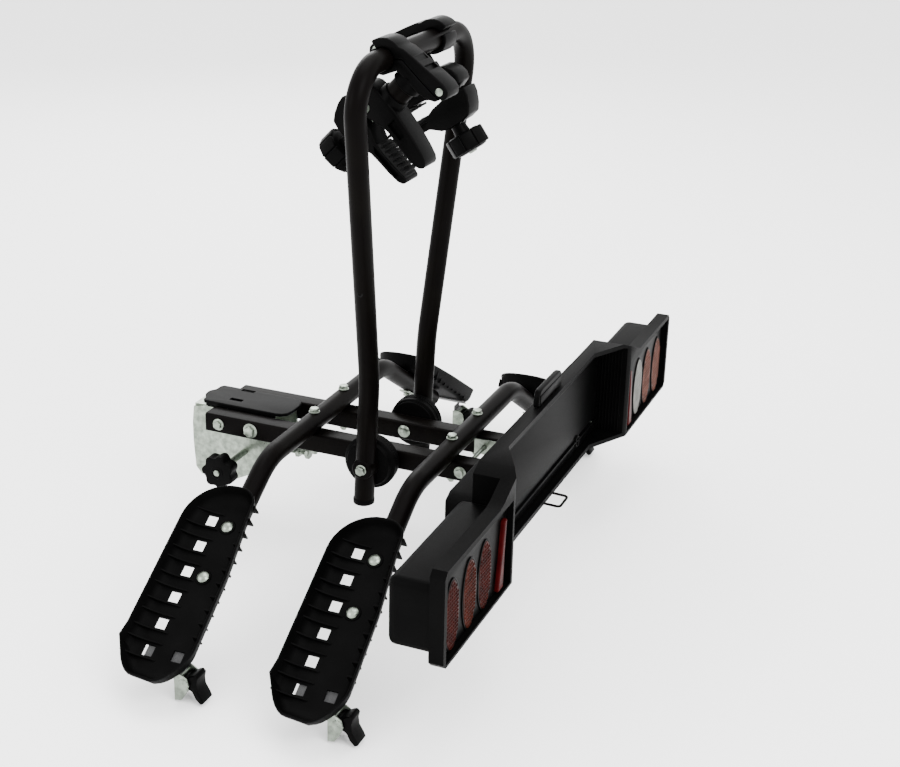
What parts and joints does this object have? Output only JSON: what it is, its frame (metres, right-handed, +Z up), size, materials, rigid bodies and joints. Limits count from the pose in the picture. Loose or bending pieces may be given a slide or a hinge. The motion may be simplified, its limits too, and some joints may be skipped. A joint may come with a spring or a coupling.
{
  "type": "hitch mounted bike rack",
  "caption": "Folding platform rack that clamps to a tow ball and carries bicycles in sloping wheel trays, with frame holders on a hoop and a rear light board.",
  "frame": {"origin": "centre of the tow ball in the cup at the front end of the rails", "axes": "+X to the right-hand side of the car, +Y forwards to the car, +Z up"},
  "size_m": [1.0602, 0.625, 0.82],
  "materials": {
    "powder_coated_steel": "satin black powder coat",
    "black_plastic": "fine-grained black moulding",
    "zinc_plated_steel": "pale zinc plating",
    "strap_ratchet": "woven black webbing in a zinc-plated ratchet frame",
    "plate_panel": "semi-gloss panel",
    "lamp_lens": "clear coloured lens"
  },
  "bodies": {
    "frame": {"rail_left": "powder_coated_steel", "coupler_plate_left": "zinc_plated_steel", "rail_right": "powder_coated_steel", "coupler_plate_right": "zinc_plated_steel", "ball_cup": "zinc_plated_steel", "coupler_cover": "black_plastic", "stop_block": "zinc_plated_steel", "front_cross_bolt": "zinc_plated_steel", "middle_cross_bolt": "zinc_plated_steel", "bracket_cross_bolt": "zinc_plated_steel", "front_arm": "powder_coated_steel", "front_arm_bolt_left": "zinc_plated_steel", "tray_front_left": "black_plastic", "tray_clamp_front_left": "zinc_plated_steel", "strap_front_left": "strap_ratchet", "front_arm_bolt_right": "zinc_plated_steel", "tray_front_right": "black_plastic", "tray_clamp_front_right": "zinc_plated_steel", "strap_front_right": "strap_ratchet", "rear_arm": "powder_coated_steel", "rear_arm_bolt_left": "zinc_plated_steel", "tray_rear_left": "black_plastic", "tray_clamp_rear_left": "zinc_plated_steel", "strap_rear_left": "strap_ratchet", "rear_arm_bolt_right": "zinc_plated_steel", "tray_rear_right": "black_plastic", "tray_clamp_rear_right": "zinc_plated_steel", "strap_rear_right": "strap_ratchet", "hinge_base_left": "black_plastic", "hinge_base_right": "black_plastic", "light_board_housing": "black_plastic", "number_plate_panel": "plate_panel", "plate_lamp": "black_plastic", "board_bracket": "zinc_plated_steel", "wire_bail": "zinc_plated_steel", "lamp_unit_left": "lamp_lens", "lamp_unit_right": "lamp_lens"},
    "hoop": {"hoop": "powder_coated_steel", "hinge_disc_left": "black_plastic", "hinge_disc_right": "black_plastic", "hinge_bolt_left": "zinc_plated_steel", "hinge_bolt_right": "zinc_plated_steel"},
    "holder_left": {"hoop_jaw_upper_left": "black_plastic", "hoop_jaw_lower_left": "black_plastic", "holder_tube_left": "powder_coated_steel", "bike_jaw_fixed_left": "black_plastic"},
    "jaw_left": {"bike_jaw_moving_left": "black_plastic"},
    "knob_left": {"holder_knob_left": "black_plastic"},
    "holder_right": {"hoop_jaw_upper_right": "black_plastic", "hoop_jaw_lower_right": "black_plastic", "holder_tube_right": "powder_coated_steel", "bike_jaw_fixed_right": "black_plastic"},
    "jaw_right": {"bike_jaw_moving_right": "black_plastic"},
    "knob_right": {"holder_knob_right": "black_plastic"},
    "clamp_screw": {"clamp_screw": "black_plastic"},
    "stop_screw": {"stop_bolt": "zinc_plated_steel"},
    "lever_front_left": {"ratchet_lever_front_left": "black_plastic"},
    "lever_front_right": {"ratchet_lever_front_right": "black_plastic"},
    "lever_rear_left": {"ratchet_lever_rear_left": "black_plastic"},
    "lever_rear_right": {"ratchet_lever_rear_right": "black_plastic"}
  },
  "joints": [
    {"name": "hoop_fold", "type": "hinge", "parent": "frame", "child": "hoop", "pos_m": [0, -0.3, 0.008], "axis": [1, 0, 0], "range_deg": [-55, 40]},
    {"name": "holder_left_swivel", "type": "hinge", "parent": "hoop", "child": "holder_left", "pos_m": [-0.089, -0.326, 0.607], "axis": [1, 0, 0], "range_deg": [-40, 40]},
    {"name": "jaw_left_close", "type": "hinge", "parent": "holder_left", "child": "jaw_left", "pos_m": [-0.089, -0.30029, 0.54007], "axis": [-1, 0, 0], "range_deg": [-5, 8]},
    {"name": "knob_left_spin", "type": "hinge", "parent": "jaw_left", "child": "knob_left", "pos_m": [-0.089, -0.2541, 0.47208], "axis": [0, 0.6947, -0.7193], "continuous": true},
    {"name": "holder_right_swivel", "type": "hinge", "parent": "hoop", "child": "holder_right", "pos_m": [0.077, -0.326, 0.607], "axis": [1, 0, 0], "range_deg": [-40, 40]},
    {"name": "jaw_right_close", "type": "hinge", "parent": "holder_right", "child": "jaw_right", "pos_m": [0.077, -0.34092, 0.53688], "axis": [1, 0, 0], "range_deg": [-5, 8]},
    {"name": "knob_right_spin", "type": "hinge", "parent": "jaw_right", "child": "knob_right", "pos_m": [0.077, -0.37591, 0.46249], "axis": [0, -0.5736, -0.8192], "continuous": true},
    {"name": "clamp_screw_spin", "type": "hinge", "parent": "frame", "child": "clamp_screw", "pos_m": [-0.109, -0.057, -0.046], "axis": [1, 0, 0], "continuous": true},
    {"name": "stop_screw_spin", "type": "hinge", "parent": "frame", "child": "stop_screw", "pos_m": [0, -0.142, -0.044], "axis": [0, 1, 0], "continuous": true},
    {"name": "lever_front_left_lift", "type": "hinge", "parent": "frame", "child": "lever_front_left", "pos_m": [-0.481, -0.222, -0.156], "axis": [1, 0, 0], "range_deg": [-27, 4]},
    {"name": "lever_front_right_lift", "type": "hinge", "parent": "frame", "child": "lever_front_right", "pos_m": [0.481, -0.222, -0.156], "axis": [1, 0, 0], "range_deg": [-27, 4]},
    {"name": "lever_rear_left_lift", "type": "hinge", "parent": "frame", "child": "lever_rear_left", "pos_m": [-0.481, -0.447, -0.156], "axis": [1, 0, 0], "range_deg": [-27, 4]},
    {"name": "lever_rear_right_lift", "type": "hinge", "parent": "frame", "child": "lever_rear_right", "pos_m": [0.481, -0.447, -0.156], "axis": [1, 0, 0], "range_deg": [-27, 4]}
  ]
}
